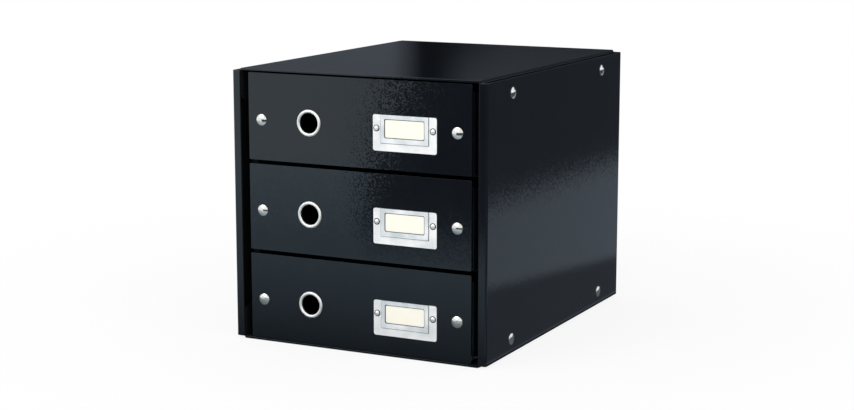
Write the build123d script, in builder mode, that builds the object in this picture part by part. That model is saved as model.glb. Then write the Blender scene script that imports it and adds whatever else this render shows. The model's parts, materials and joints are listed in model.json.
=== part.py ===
from build123d import *

import os

# Three-drawer desktop cabinet of laminated board, folded and closed with press studs.
# X runs to the right, Y to the back and Z up; the origin is under the middle of the cabinet.

# Outside of the cabinet
width = 286.0
depth = 358.0
height = 282.0

# Laminated board, and the inside radius where it is folded
board = 2.0
fold_inside = 0.5

# Clearances, and how far a cut runs past the material
edge_clearance = 0.25
fit = 0.1
hole_clearance = 0.05
overrun = 1.0

# Press stud: domed cap with its shank, socket on the outer board, post on the inner board
cap_diameter = 12.3
cap_height = 1.9
cap_rim = 0.5
shank_diameter = 4.0
socket_diameter = 10.5
socket_height = 3.2
socket_floor = 0.8
snap_clearance = 0.6
nose_diameter = 5.0
nose_chamfer = 0.6
nose_gap = 0.3
post_base_diameter = 10.0
post_base_height = 1.2
post_head_diameter = 8.0
post_head_height = 1.2

# Top and bottom panels, with a flap folded in at each side
panel_setback = 1.0
flap_clearance = 1.0
flap_corner = 8.0
side_stud_edge = 17.0
side_stud_setback = 60.0

# Drawer bays, with the guide walls and shelves that make them
side_gap = 8.5
front_recess = 2.7
slide_clearance = 0.2
top_clearance = 2.0
guide_clearance = 0.8
guide_setback = 20.0
shelf_setback = 14.0
shelf_corner = 4.0
tab_width = 40.0
tab_proud = 2.0
tab_place_shares = (-0.33, 0.0, 0.33)
rear_clearance = 2.0

# Drawer front and tray
front_corner = 1.2
front_edge_round = 0.6
wall_drop = 8.0
tray_flap_relief = 1.5
tray_flap_corner = 6.0
stud_inset = 15.1
stud_rise = 41.2

# Finger ring, a rolled eyelet with a washer behind the board
ring_from_stud = 55.5
ring_diameter = 27.5
ring_bore = 20.5
ring_height = 1.7
ring_lip = 0.7
ring_flats = 4
barrel_wall = 0.9
washer_thickness = 0.8

# Label holder, pressed from sheet steel, with its rivets and card
label_from_stud = 57.3
label_rise = 36.6
label_width = 70.0
label_height = 36.0
label_corner = 2.2
sheet = 0.5
pocket_width = 53.6
pocket_margin = 7.4
pocket_round = 0.4
window_width = 42.8
window_height = 17.6
window_drop = 4.8
window_corner = 1.6
card_thickness = 0.4
card_play = 0.15
card_side_play = 0.4
card_drop = 0.6
rivet_inset = 4.0
rivet_diameter = 5.8
rivet_height = 1.1
rivet_shank = 2.8
rivet_tail_diameter = 5.0
rivet_tail_height = 0.8

# Levels from the bottom up
levels = ("bottom", "middle", "top")

# Sizes that follow from the ones above
half_width = width / 2
half_depth = depth / 2
fold_outside = fold_inside + board
stud_gap = socket_height + post_base_height + snap_clearance
return_width = board + stud_gap + board
upright_bottom = board + edge_clearance
upright_height = height - 2 * upright_bottom

panel_edge = half_width - board - stud_gap
flap_height = 2 * side_stud_edge
flap_front = -half_depth + board + flap_clearance
back_panel_rear = half_depth - board - fit
back_panel_front = back_panel_rear - board
flap_rear = back_panel_front - flap_clearance
panel_front = -half_depth + panel_setback
panel_rear = half_depth - panel_setback
inner_height = height - 2 * board

drawer_edge = half_width - return_width - side_gap
front_face = -half_depth + front_recess
front_back = front_face + board
bay_height = (inner_height - board * (len(levels) - 1)) / len(levels)
bay_pitch = bay_height + board
front_height = bay_height - slide_clearance - top_clearance
wall_height = front_height - wall_drop
tray_flap_front = front_back + stud_gap
tray_flap_back = tray_flap_front + board
tray_flap_end = drawer_edge - 2 * stud_inset
tray_rear = back_panel_front - rear_clearance

guide_inner = drawer_edge + guide_clearance
guide_outer = guide_inner + board
guide_edge = panel_edge - board - fold_inside - fit
guide_front = -half_depth + guide_setback
guide_rear = back_panel_front - fit
shelf_front = -half_depth + shelf_setback
shelf_rear = guide_rear - fit
shelf_depth = shelf_rear - shelf_front
shelf_middle = (shelf_front + shelf_rear) / 2
tab_places = [shelf_middle + share * shelf_depth for share in tab_place_shares]
shelf_levels = [board + bay_pitch * step - board for step in range(1, len(levels))]

stud_x = drawer_edge - stud_inset
ring_x = ring_from_stud - stud_x
label_x = stud_x - label_from_stud
barrel_radius = ring_bore / 2 + barrel_wall
shank_hole = shank_diameter / 2 + hole_clearance
rivet_hole = rivet_shank / 2 + hole_clearance

label_top = label_rise + label_height / 2
pocket_floor = label_rise - label_height / 2 + pocket_margin
pocket_height = label_top - pocket_floor
pocket_depth = card_thickness + 2 * card_play
window_middle = label_top - window_drop - window_height / 2
rivet_places = [(label_x + side * (label_width / 2 - rivet_inset), window_middle) for side in (-1, 1)]
stud_places = [(-stud_x, stud_rise), (stud_x, stud_rise)]

# The drawer's front face, seen from the front: X to the right, Z up, outwards to the viewer
front_plane = Plane(origin=(0, front_face, 0), x_dir=(1, 0, 0), z_dir=(0, -1, 0))


def save(piece, name):
    """Label a finished piece and write it as its own file."""
    piece.part.label = name
    export_step(piece.part, f"parts/{name}.step")


def save_mirrored(piece, about, name):
    """Write the mirror image of a finished piece."""
    with BuildPart() as image:
        mirror(piece.part, about=about)
    save(image, name)


def save_copies(piece, places, name):
    """Write copies of a finished piece, one at each place."""
    with BuildPart() as copies:
        with Locations(*places):
            add(piece.part)
    save(copies, name)


def side_stud_planes(x):
    """Planes of one side's four studs at the given X, facing right."""
    y_places = (-half_depth + side_stud_setback, half_depth - side_stud_setback)
    z_places = (side_stud_edge, height - side_stud_edge)
    return [Plane(origin=(x, y, z), x_dir=(0, 1, 0), z_dir=(1, 0, 0)) for y in y_places for z in z_places]


def front_stud_planes(y):
    """Planes of one drawer's two front studs at the given Y, facing the viewer."""
    return [Plane(origin=(x, y, z), x_dir=(1, 0, 0), z_dir=(0, -1, 0)) for x, z in stud_places]


os.makedirs("parts", exist_ok=True)

# Side panel: an upright wall with a return folded in at the front and at the back
with BuildPart() as side_panel:
    with BuildSketch(Plane.XY.offset(upright_bottom)) as side_plan:
        with BuildLine():
            Polyline(
                (half_width - return_width, -half_depth),
                (half_width, -half_depth),
                (half_width, half_depth),
                (half_width - return_width, half_depth),
                (half_width - return_width, half_depth - board),
                (half_width - board, half_depth - board),
                (half_width - board, board - half_depth),
                (half_width - return_width, board - half_depth),
                close=True,
            )
        make_face()
        fillet(side_plan.vertices().group_by(Axis.X)[1], fold_inside)
        fillet(side_plan.vertices().group_by(Axis.X)[-1], fold_outside)
    extrude(amount=upright_height)
    with Locations(*side_stud_planes(half_width)):
        Hole(shank_hole, depth=board + overrun)
save(side_panel, "right_side_panel")
save_mirrored(side_panel, Plane.YZ, "left_side_panel")

# Back panel, slid in between the rear returns and the guide walls
with BuildPart() as back_panel:
    with BuildSketch(Plane.XZ.offset(-back_panel_rear)):
        with Locations((0, height / 2)):
            Rectangle(2 * (half_width - board - fold_inside - fit), inner_height - 2 * fit)
    extrude(amount=board)
save(back_panel, "back_panel")

# Top panel: a sheet that lies over the uprights, with a flap folded down inside each side panel
with BuildPart() as top_panel:
    with BuildSketch(Plane.XZ.offset(-flap_rear)) as top_section:
        with BuildLine():
            Polyline(
                (-panel_edge, height - flap_height),
                (-panel_edge, height),
                (panel_edge, height),
                (panel_edge, height - flap_height),
                (panel_edge - board, height - flap_height),
                (panel_edge - board, height - board),
                (board - panel_edge, height - board),
                (board - panel_edge, height - flap_height),
                close=True,
            )
        make_face()
        fillet(top_section.vertices().group_by(Axis.Y)[1], fold_inside)
        fillet(top_section.vertices().group_by(Axis.Y)[-1], fold_outside)
    extrude(amount=flap_rear - flap_front)
    fillet(top_panel.edges().filter_by(Axis.X).group_by(Axis.Z)[0], flap_corner)
    with BuildSketch(Plane.XY.offset(height - board)):
        with Locations((0, (panel_front + panel_rear) / 2)):
            Rectangle(2 * (panel_edge - fold_outside), panel_rear - panel_front)
    extrude(amount=board)
    with Locations(*side_stud_planes(panel_edge)):
        Hole(shank_hole, depth=2 * panel_edge + overrun)
save(top_panel, "top_panel")
save_mirrored(top_panel, Plane.XY.offset(height / 2), "bottom_panel")

# Guide wall: stands beside the drawers, spaced off the flaps by its two folded edges
with BuildPart() as guide_wall:
    with BuildSketch(Plane.XY.offset(board)) as guide_plan:
        with BuildLine():
            Polyline(
                (guide_edge, guide_front),
                (guide_inner, guide_front),
                (guide_inner, guide_rear),
                (guide_edge, guide_rear),
                (guide_edge, guide_rear - board),
                (guide_outer, guide_rear - board),
                (guide_outer, guide_front + board),
                (guide_edge, guide_front + board),
                close=True,
            )
        make_face()
        fillet(guide_plan.vertices().group_by(Axis.X)[1], fold_inside)
        fillet(guide_plan.vertices().group_by(Axis.X)[0], fold_outside)
    extrude(amount=inner_height - fit)
    with BuildSketch(Plane.YZ.offset(guide_inner - overrun)):
        with Locations(*[(y, z + board / 2) for y in tab_places for z in shelf_levels]):
            Rectangle(tab_width + 2 * fit, board + 2 * fit)
    extrude(amount=board + 2 * overrun, mode=Mode.SUBTRACT)
save(guide_wall, "right_guide_wall")
save_mirrored(guide_wall, Plane.YZ, "left_guide_wall")

# Shelf: a board whose side tabs pass through the slots of the guide walls
with BuildPart() as shelf:
    with BuildSketch() as shelf_plan:
        with Locations((0, shelf_middle)):
            Rectangle(2 * (guide_inner - fit), shelf_depth)
        fillet(shelf_plan.vertices().group_by(Axis.Y)[0], shelf_corner)
        with Locations(*[(0, y) for y in tab_places]):
            Rectangle(2 * (guide_outer + tab_proud), tab_width)
    extrude(amount=board)
for shelf_level, shelf_name in zip(shelf_levels, ("lower_shelf", "upper_shelf")):
    save_copies(shelf, [(0, 0, shelf_level)], shelf_name)

# Press stud cap: spherical dome on a low rim, with the shank that rivets it through the board
with BuildPart() as stud_cap:
    with BuildSketch(Plane.XZ):
        with BuildLine():
            TangentArc((0, cap_height), (cap_diameter / 2, cap_rim), tangent=(1, 0))
            Polyline(
                (cap_diameter / 2, cap_rim),
                (cap_diameter / 2, 0),
                (shank_diameter / 2, 0),
                (shank_diameter / 2, -board - socket_floor),
                (0, -board - socket_floor),
                (0, cap_height),
            )
        make_face()
    revolve(axis=Axis.Z)

# Press stud socket: a cup behind the outer board that grips the post's nose
with BuildPart() as stud_socket:
    with BuildSketch(Plane.XZ):
        with BuildLine():
            Polyline(
                (shank_hole, -board),
                (socket_diameter / 2, -board),
                (socket_diameter / 2, -board - socket_height),
                (nose_diameter / 2 + hole_clearance, -board - socket_height),
                (nose_diameter / 2 + hole_clearance, -board - socket_floor),
                (shank_hole, -board - socket_floor),
                close=True,
            )
        make_face()
    revolve(axis=Axis.Z)

# Press stud post: nose and base outside the inner board, shank through it and a flat head behind
inner_face = -board - stud_gap
inner_back = inner_face - board
nose_tip = -board - socket_floor - nose_gap
with BuildPart() as stud_post:
    with BuildSketch(Plane.XZ):
        with BuildLine():
            Polyline(
                (0, nose_tip),
                (nose_diameter / 2 - nose_chamfer, nose_tip),
                (nose_diameter / 2, nose_tip - nose_chamfer),
                (nose_diameter / 2, inner_face + post_base_height),
                (post_base_diameter / 2, inner_face + post_base_height),
                (post_base_diameter / 2, inner_face),
                (shank_diameter / 2, inner_face),
                (shank_diameter / 2, inner_back),
                (post_head_diameter / 2, inner_back),
                (post_head_diameter / 2, inner_back - post_head_height),
                (0, inner_back - post_head_height),
                close=True,
            )
        make_face()
    revolve(axis=Axis.Z)

# The side panels' studs, four on each side
for stud_piece, stud_name in ((stud_cap, "caps"), (stud_socket, "sockets"), (stud_post, "posts")):
    with BuildPart() as side_studs:
        with Locations(*side_stud_planes(half_width)):
            add(stud_piece.part)
    save(side_studs, f"right_stud_{stud_name}")
    save_mirrored(side_studs, Plane.YZ, f"left_stud_{stud_name}")

# Drawer front: a flat board with softened edges, pierced for the ring, the studs and the label rivets
with BuildPart() as drawer_front:
    with BuildSketch(front_plane) as front_outline:
        with Locations((0, front_height / 2)):
            Rectangle(2 * drawer_edge, front_height)
        fillet(front_outline.vertices(), front_corner)
        with Locations((ring_x, stud_rise)):
            Circle(barrel_radius + hole_clearance, mode=Mode.SUBTRACT)
        with Locations(*stud_places):
            Circle(shank_hole, mode=Mode.SUBTRACT)
        with Locations(*rivet_places):
            Circle(rivet_hole, mode=Mode.SUBTRACT)
    extrude(amount=-board)
    fillet(drawer_front.faces().sort_by(Axis.Y)[0].outer_wire().edges(), front_edge_round)

# Drawer tray: a floor with one strip of wall folded round the sides and back, flaps turned in at the front
with BuildPart() as drawer_tray:
    with BuildSketch() as tray_floor:
        with Locations((0, (front_back + tray_rear) / 2)):
            Rectangle(2 * drawer_edge, tray_rear - front_back)
        fillet(tray_floor.vertices().group_by(Axis.Y)[-1], fold_outside)
    extrude(amount=board)
    with BuildSketch() as tray_strip:
        with BuildLine():
            Polyline(
                (-tray_flap_end, tray_flap_front),
                (-drawer_edge, tray_flap_front),
                (-drawer_edge, tray_rear),
                (drawer_edge, tray_rear),
                (drawer_edge, tray_flap_front),
                (tray_flap_end, tray_flap_front),
                (tray_flap_end, tray_flap_back),
                (drawer_edge - board, tray_flap_back),
                (drawer_edge - board, tray_rear - board),
                (board - drawer_edge, tray_rear - board),
                (board - drawer_edge, tray_flap_back),
                (-tray_flap_end, tray_flap_back),
                close=True,
            )
        make_face()
        strip_corners = tray_strip.vertices().group_by(Axis.X)
        fillet(strip_corners[1] + strip_corners[-2], fold_inside)
        strip_corners = tray_strip.vertices().group_by(Axis.X)
        fillet(strip_corners[0] + strip_corners[-1], fold_outside)
    extrude(amount=wall_height)
    with BuildSketch(Plane.XY.offset(board)):
        with Locations((0, (tray_flap_front + tray_flap_back) / 2)):
            Rectangle(2 * (drawer_edge - fold_outside), board)
    extrude(amount=tray_flap_relief, mode=Mode.SUBTRACT)
    flap_ends = drawer_tray.edges().filter_by(Axis.Y).group_by(Axis.Z)[-1].sort_by(SortBy.LENGTH)[:2]
    fillet(flap_ends, tray_flap_corner)
    with Locations(*front_stud_planes(tray_flap_front)):
        Hole(shank_hole, depth=board)

# Finger ring: a rolled rim in front of the board, turned in a few flats, and a barrel through the board
with BuildPart() as finger_ring:
    with BuildSketch(Plane.XZ):
        with BuildLine():
            rim_middle = (ring_bore + ring_diameter) / 4
            rim_points = ((ring_bore / 2, ring_lip), (rim_middle, ring_height), (ring_diameter / 2, 0))
            rim_roll = ThreePointArc(*rim_points, mode=Mode.PRIVATE)
            Polyline(*[rim_roll @ (flat / ring_flats) for flat in range(ring_flats + 1)])
            Polyline(
                (ring_diameter / 2, 0),
                (barrel_radius, 0),
                (barrel_radius, -board - washer_thickness),
                (ring_bore / 2, -board - washer_thickness),
                (ring_bore / 2, ring_lip),
            )
        make_face()
    revolve(axis=Axis.Z)

# Ring washer: lies behind the board, round the barrel
with BuildPart() as ring_washer:
    with BuildSketch(Plane.XY.offset(-board - washer_thickness)):
        Circle(ring_diameter / 2)
        Circle(barrel_radius + hole_clearance, mode=Mode.SUBTRACT)
    extrude(amount=washer_thickness)

# Label holder: a sheet steel plate with a raised pocket, open at the top, and a window in it
with BuildPart() as label_holder:
    with BuildSketch(front_plane) as label_plate:
        with Locations((label_x, label_rise)):
            Rectangle(label_width, label_height)
        fillet(label_plate.vertices(), label_corner)
    extrude(amount=sheet)
    with BuildSketch(front_plane):
        with Locations((label_x, pocket_floor + pocket_height / 2)):
            Rectangle(pocket_width, pocket_height)
    extrude(amount=pocket_depth + sheet)
    pocket_rim = label_holder.faces().sort_by(Axis.Y)[0].edges().sort_by(Axis.Z)[:-1]
    fillet(pocket_rim, pocket_round)
    with BuildSketch(front_plane):
        with Locations((label_x, pocket_floor + sheet + pocket_height / 2)):
            Rectangle(pocket_width - 2 * sheet, pocket_height)
    extrude(amount=pocket_depth, mode=Mode.SUBTRACT)
    with BuildSketch(front_plane) as window:
        with Locations((label_x, window_middle)):
            Rectangle(window_width, window_height)
        fillet(window.vertices(), window_corner)
        with Locations(*rivet_places):
            Circle(rivet_hole)
    extrude(amount=pocket_depth + sheet + overrun, mode=Mode.SUBTRACT)

# Label card: slides into the pocket from above
card_bottom = pocket_floor + sheet
card_height = label_top - card_drop - card_bottom
with BuildPart() as label_card:
    with BuildSketch(front_plane.offset(card_play)):
        with Locations((label_x, card_bottom + card_height / 2)):
            Rectangle(pocket_width - 2 * (sheet + card_side_play), card_height)
    extrude(amount=card_thickness)

# Label rivet: domed head on the plate, shank through the drawer front, tail behind it
with BuildPart() as label_rivet:
    with BuildSketch(Plane.XZ):
        with BuildLine():
            TangentArc((0, sheet + rivet_height), (rivet_diameter / 2, sheet), tangent=(1, 0))
            Polyline(
                (rivet_diameter / 2, sheet),
                (rivet_shank / 2, sheet),
                (rivet_shank / 2, -board),
                (rivet_tail_diameter / 2, -board),
                (rivet_tail_diameter / 2, -board - rivet_tail_height),
                (0, -board - rivet_tail_height),
                (0, sheet + rivet_height),
            )
        make_face()
    revolve(axis=Axis.Z)

# One set of drawer pieces at each level
ring_plane = Plane(origin=(ring_x, front_face, stud_rise), x_dir=(1, 0, 0), z_dir=(0, -1, 0))
rivet_planes = [Plane(origin=(x, front_face, z), x_dir=(1, 0, 0), z_dir=(0, -1, 0)) for x, z in rivet_places]
drawer_pieces = (
    ("drawer_front", drawer_front, [Plane.XY]),
    ("drawer_tray", drawer_tray, [Plane.XY]),
    ("stud_caps", stud_cap, front_stud_planes(front_face)),
    ("stud_sockets", stud_socket, front_stud_planes(front_face)),
    ("stud_posts", stud_post, front_stud_planes(front_face)),
    ("finger_ring", finger_ring, [ring_plane]),
    ("ring_washer", ring_washer, [ring_plane]),
    ("label_holder", label_holder, [Plane.XY]),
    ("label_rivets", label_rivet, rivet_planes),
    ("label_card", label_card, [Plane.XY]),
)
for step, level in enumerate(levels):
    drawer_bottom = board + bay_pitch * step + slide_clearance
    for piece_name, piece, planes in drawer_pieces:
        lifted = [Location((0, 0, drawer_bottom)) * plane.location for plane in planes]
        save_copies(piece, lifted, f"{level}_{piece_name}")
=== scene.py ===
# %% [markdown]
# # A three-drawer desktop cabinet of film-covered board
# The cabinet is folded from board that is covered with black plastic film, and closed with press studs.
# Its size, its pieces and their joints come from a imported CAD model, which is loaded first and never moved.
# Blender adds what the eye meets: the film, the metal, the rounded edges, the light and the camera.

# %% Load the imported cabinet
import json
import math

import bmesh
import bpy
from mathutils import Matrix, Vector

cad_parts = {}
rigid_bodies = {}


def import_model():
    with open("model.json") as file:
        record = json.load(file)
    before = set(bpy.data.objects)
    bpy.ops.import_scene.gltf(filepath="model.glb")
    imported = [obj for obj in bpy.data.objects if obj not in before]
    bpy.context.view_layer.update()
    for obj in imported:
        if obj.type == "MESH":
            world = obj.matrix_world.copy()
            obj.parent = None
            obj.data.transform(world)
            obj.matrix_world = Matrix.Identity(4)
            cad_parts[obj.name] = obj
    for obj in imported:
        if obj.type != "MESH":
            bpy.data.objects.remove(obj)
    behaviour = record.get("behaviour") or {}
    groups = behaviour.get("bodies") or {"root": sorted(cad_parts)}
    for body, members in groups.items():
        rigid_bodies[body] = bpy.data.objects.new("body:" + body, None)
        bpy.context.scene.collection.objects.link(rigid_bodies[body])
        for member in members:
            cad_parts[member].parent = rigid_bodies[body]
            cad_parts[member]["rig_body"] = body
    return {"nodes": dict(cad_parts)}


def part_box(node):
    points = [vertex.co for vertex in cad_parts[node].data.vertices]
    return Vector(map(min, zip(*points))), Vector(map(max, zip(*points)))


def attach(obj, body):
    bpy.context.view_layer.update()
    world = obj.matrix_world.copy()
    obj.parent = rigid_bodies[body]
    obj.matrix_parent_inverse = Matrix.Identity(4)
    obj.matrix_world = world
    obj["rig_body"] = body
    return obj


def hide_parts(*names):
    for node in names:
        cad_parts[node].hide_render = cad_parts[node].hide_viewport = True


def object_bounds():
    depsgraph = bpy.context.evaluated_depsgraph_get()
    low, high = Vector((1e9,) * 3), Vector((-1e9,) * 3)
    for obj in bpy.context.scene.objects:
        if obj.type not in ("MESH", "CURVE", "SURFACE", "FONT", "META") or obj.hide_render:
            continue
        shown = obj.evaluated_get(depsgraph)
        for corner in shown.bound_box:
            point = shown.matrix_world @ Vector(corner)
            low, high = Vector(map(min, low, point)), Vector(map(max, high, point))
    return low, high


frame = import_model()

cad_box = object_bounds()
scene = bpy.context.scene
MM = 0.001
print("CAD box in mm:", [tuple(round(side / MM, 1) for side in corner) for corner in cad_box])

# %% [markdown]
# ## Camera
# The front and the right side show, with a narrow strip of the top.
# The place, turn, tilt and lens were fitted to the cabinet's corners and studs,
# so nothing has to be framed by eye.
# The lens axis goes through the middle of the picture, so the camera needs no shift.
# Blender takes the lens and the sensor in millimetres; all else here is in metres.

# %% Camera
camera_place = Vector((855.3, -1728.0, 470.6)) * MM
camera_turn = math.radians(26.626)
camera_tilt = math.radians(10.229)
sensor_width = 36.0
lens_length = 76.154
far_clip = 50.0

camera = bpy.data.objects.new("camera", bpy.data.cameras.new("camera"))
camera.data.sensor_fit = "HORIZONTAL"
camera.data.sensor_width = sensor_width
camera.data.lens = lens_length
camera.data.clip_end = far_clip
camera.location = camera_place
camera.rotation_euler = (math.pi / 2 - camera_tilt, 0, camera_turn)
scene.collection.objects.link(camera)
scene.camera = camera
scene.view_settings.view_transform = "Standard"
print("camera stands", round(camera_place.length, 3), "m from the cabinet")

# %% [markdown]
# ## Two helpers for finishes
# A colour is picked as an sRGB hex value, as in any paint program, but a shader counts in linear light.
# One function turns the first into the second. Another adds a node, sets it and links it in one call,
# so that a material reads from top to bottom like a recipe.

# %% Colour and node helpers
def linear(hex_colour):
    """An sRGB hex colour as linear red, green, blue and alpha."""
    shares = [int(hex_colour[start:start + 2], 16) / 255 for start in (1, 3, 5)]
    return [s / 12.92 if s <= 0.04045 else ((s + 0.055) / 1.055) ** 2.4 for s in shares] + [1.0]


def add(tree, kind, inputs, **settings):
    """A node with its settings; each input is a value, or another node's output to link from."""
    node = tree.nodes.new(kind)
    for setting, value in settings.items():
        setattr(node, setting, value)
    for socket, value in inputs.items():
        if isinstance(value, bpy.types.NodeSocket):
            tree.links.new(value, node.inputs[socket])
        else:
            node.inputs[socket].default_value = value
    return node


def new_finish(name):
    """An empty material: its node tree, its shader and its Object coordinates."""
    material = bpy.data.materials.new(name)
    material.use_nodes = True
    tree = material.node_tree
    place = add(tree, "ShaderNodeTexCoord", {}).outputs["Object"]
    return material, tree, tree.nodes["Principled BSDF"], place


# %% [markdown]
# ## Film-covered board
# The outside is board under a blue-black polypropylene film. The film is glossy, and a roller has pressed
# a fine pebble grain into it, which shows wherever a bright reflection fades into a dark one.
# A bump of such fine pebbles joins up into creases, so here a noise of three channels leans the surface,
# each pebble its own way. The real grain is taken to be about 0.7 mm, less than one pixel here,
# so it is drawn at 1.7 mm to show.

# %% Film-covered board
def film_covered_board():
    material, tree, shader, place = new_finish("film_covered_board")
    grain_size = 1.7 * MM
    grain_lean = 0.06
    cloud_size = 45 * MM
    mid_grey = (0.5, 0.5, 0.5)
    pebbles = add(tree, "ShaderNodeTexNoise", {"Vector": place, "Scale": 1 / grain_size, "Detail": 0.0})
    level_out = add(tree, "ShaderNodeVectorMath", {0: pebbles.outputs["Color"], 1: mid_grey},
                    operation="SUBTRACT")
    lean = add(tree, "ShaderNodeVectorMath",
               {0: level_out.outputs[0], 1: (grain_lean, grain_lean, grain_lean),
                2: add(tree, "ShaderNodeNewGeometry", {}).outputs["Normal"]}, operation="MULTIPLY_ADD")
    grain = add(tree, "ShaderNodeVectorMath", {0: lean.outputs[0]}, operation="NORMALIZE")
    cloud = add(tree, "ShaderNodeTexNoise", {"Vector": place, "Scale": 1 / cloud_size, "Detail": 3.0})
    tint = add(tree, "ShaderNodeMix", {"Factor": cloud.outputs["Fac"], "A": linear("#0D1015"),
                                       "B": linear("#12161C")}, data_type="RGBA")
    sheen = add(tree, "ShaderNodeMapRange", {"Value": cloud.outputs["Fac"], "To Min": 0.08, "To Max": 0.1})
    tree.links.new(tint.outputs[2], shader.inputs["Base Color"])
    tree.links.new(sheen.outputs[0], shader.inputs["Roughness"])
    tree.links.new(grain.outputs[0], shader.inputs["Normal"])
    shader.inputs["IOR"].default_value = 1.49
    shader.inputs["Specular Tint"].default_value = linear("#E7F7FF")
    return material


film = film_covered_board()
print("finish:", film.name)

# %% [markdown]
# ## Lining paper
# The inside of the boards is lined with uncoated black paper. It is dull, without the blue of the film,
# and long thin fibres lie in it, so its noise is stretched along one axis.

# %% Lining paper
def lining_paper():
    material, tree, shader, place = new_finish("lining_paper")
    fibre_width = 0.5 * MM
    fibre_length = 4 * MM
    stretch = add(tree, "ShaderNodeMapping",
                  {"Vector": place, "Scale": (1 / fibre_width, 1 / fibre_length, 1 / fibre_length)})
    fibres = add(tree, "ShaderNodeTexNoise", {"Vector": stretch.outputs[0], "Scale": 1.0, "Detail": 3.0})
    tint = add(tree, "ShaderNodeMix", {"Factor": fibres.outputs["Fac"], "A": linear("#0E0F11"),
                                       "B": linear("#16181B")}, data_type="RGBA")
    nap = add(tree, "ShaderNodeBump",
              {"Height": fibres.outputs["Fac"], "Strength": 0.3, "Distance": 0.05 * MM})
    tree.links.new(tint.outputs[2], shader.inputs["Base Color"])
    tree.links.new(nap.outputs[0], shader.inputs["Normal"])
    shader.inputs["Roughness"].default_value = 0.82
    shader.inputs["Specular IOR Level"].default_value = 0.2
    return material


lining = lining_paper()
print("finish:", lining.name)

# %% [markdown]
# ## Metals
# The studs are polished nickel, which mirrors the room. The rolled finger rings and the rivets are duller.
# The label holders are nickel under a thin matt lacquer, which scatters part of the light as paint does
# and looks almost white. Their broad grey patches are painted reflections, their pocket fronts are painted
# a little greyer as a painted reflection, and the pockets' drawn walls darker still as painted shade.
# The dark steel is bare steel on the windows' cut edges, and painted shade on the rivet collars and inside
# the finger rings; the studs' hidden halves are zinc plate.
# All of these are one recipe with other numbers: a metal colour in patches, a roughness that wanders
# and a fine scratch bump.

# %% Metals
def plated_metal(name, pale, dark, smooth, rough, scratch_width, scratch_depth, metallic=1.0,
                 patch_size=5 * MM):
    material, tree, shader, place = new_finish(name)
    scratch_length = 12 * scratch_width
    stretch = add(tree, "ShaderNodeMapping",
                  {"Vector": place, "Scale": (1 / scratch_length, 1 / scratch_width, 1 / scratch_width)})
    scratches = add(tree, "ShaderNodeTexNoise", {"Vector": stretch.outputs[0], "Scale": 1.0, "Detail": 2.0})
    # Patches of the metal colour: at 5 mm the metal's own random tone, at 20 mm on the label holders painted
    # reflections
    smudges_and_reflections = add(tree, "ShaderNodeTexNoise", {"Vector": place, "Scale": 1 / patch_size, "Detail": 2.0})
    patches = add(tree, "ShaderNodeMapRange",
                  {"Value": smudges_and_reflections.outputs["Fac"], "From Min": 0.35, "From Max": 0.65})
    tint = add(tree, "ShaderNodeMix", {"Factor": patches.outputs[0], "A": linear(dark),
                                       "B": linear(pale)}, data_type="RGBA")
    blur = add(tree, "ShaderNodeMapRange", {"Value": patches.outputs[0], "To Min": smooth, "To Max": rough})
    marks = add(tree, "ShaderNodeBump", {"Height": scratches.outputs["Fac"], "Strength": 0.2,
                                         "Distance": scratch_depth})
    tree.links.new(tint.outputs[2], shader.inputs["Base Color"])
    tree.links.new(blur.outputs[0], shader.inputs["Roughness"])
    tree.links.new(marks.outputs[0], shader.inputs["Normal"])
    shader.inputs["Metallic"].default_value = metallic
    return material


polished = plated_metal("polished_nickel", "#EDECE8", "#DDDCD8", smooth=0.06, rough=0.12,
                        scratch_width=0.15 * MM, scratch_depth=0.002 * MM)
rolled = plated_metal("rolled_nickel", "#FAFAF8", "#F0F0EE", smooth=0.36, rough=0.44,
                      scratch_width=0.2 * MM, scratch_depth=0.005 * MM, metallic=0.8)
# The label holders' 20 mm grey patches are painted reflections, and the greyer pocket fronts are a painted
# reflection
satin = plated_metal("lacquered_nickel", "#FBFBFA", "#E5E9EB", smooth=0.5, rough=0.6,
                     scratch_width=0.3 * MM, scratch_depth=0.01 * MM, metallic=0.4, patch_size=20 * MM)
pocket_front_reflection = plated_metal("pocket_front_painted_reflection", "#F6F9FA", "#D4DBDF", smooth=0.5, rough=0.6,
                       scratch_width=0.3 * MM, scratch_depth=0.01 * MM, metallic=0.4, patch_size=20 * MM)
# The darker colour of the pockets' walls is painted shade
pocket_wall_shade = plated_metal("pocket_wall_painted_shade", "#A9ABAD", "#8F9193", smooth=0.5, rough=0.6,
                     scratch_width=0.3 * MM, scratch_depth=0.01 * MM)
# Dark steel: bare steel on cut edges, and painted shade on the rivet collars and inside the finger rings
cut_edge_and_shade = plated_metal("cut_steel_and_painted_shade", "#4E5052", "#2F3133", smooth=0.45, rough=0.6,
                       scratch_width=0.2 * MM, scratch_depth=0.01 * MM)
zinc = plated_metal("zinc_plate", "#B4B6B8", "#9A9DA0", smooth=0.32, rough=0.45,
                    scratch_width=0.3 * MM, scratch_depth=0.01 * MM)
print("finishes:", polished.name, rolled.name, satin.name, pocket_front_reflection.name, pocket_wall_shade.name, cut_edge_and_shade.name,
      zinc.name)

# %% [markdown]
# ## Label card
# The cards are cream index card: dull, with a faint mottle of fibres.

# %% Label card stock
def index_card():
    material, tree, shader, place = new_finish("cream_index_card")
    fibre_size = 0.8 * MM
    fibres = add(tree, "ShaderNodeTexNoise", {"Vector": place, "Scale": 1 / fibre_size, "Detail": 4.0})
    tint = add(tree, "ShaderNodeMix", {"Factor": fibres.outputs["Fac"], "A": linear("#F7F3E2"),
                                       "B": linear("#FBF9EE")}, data_type="RGBA")
    tooth = add(tree, "ShaderNodeBump",
                {"Height": fibres.outputs["Fac"], "Strength": 0.2, "Distance": 0.02 * MM})
    tree.links.new(tint.outputs[2], shader.inputs["Base Color"])
    tree.links.new(tooth.outputs[0], shader.inputs["Normal"])
    shader.inputs["Roughness"].default_value = 0.7
    return material


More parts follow.
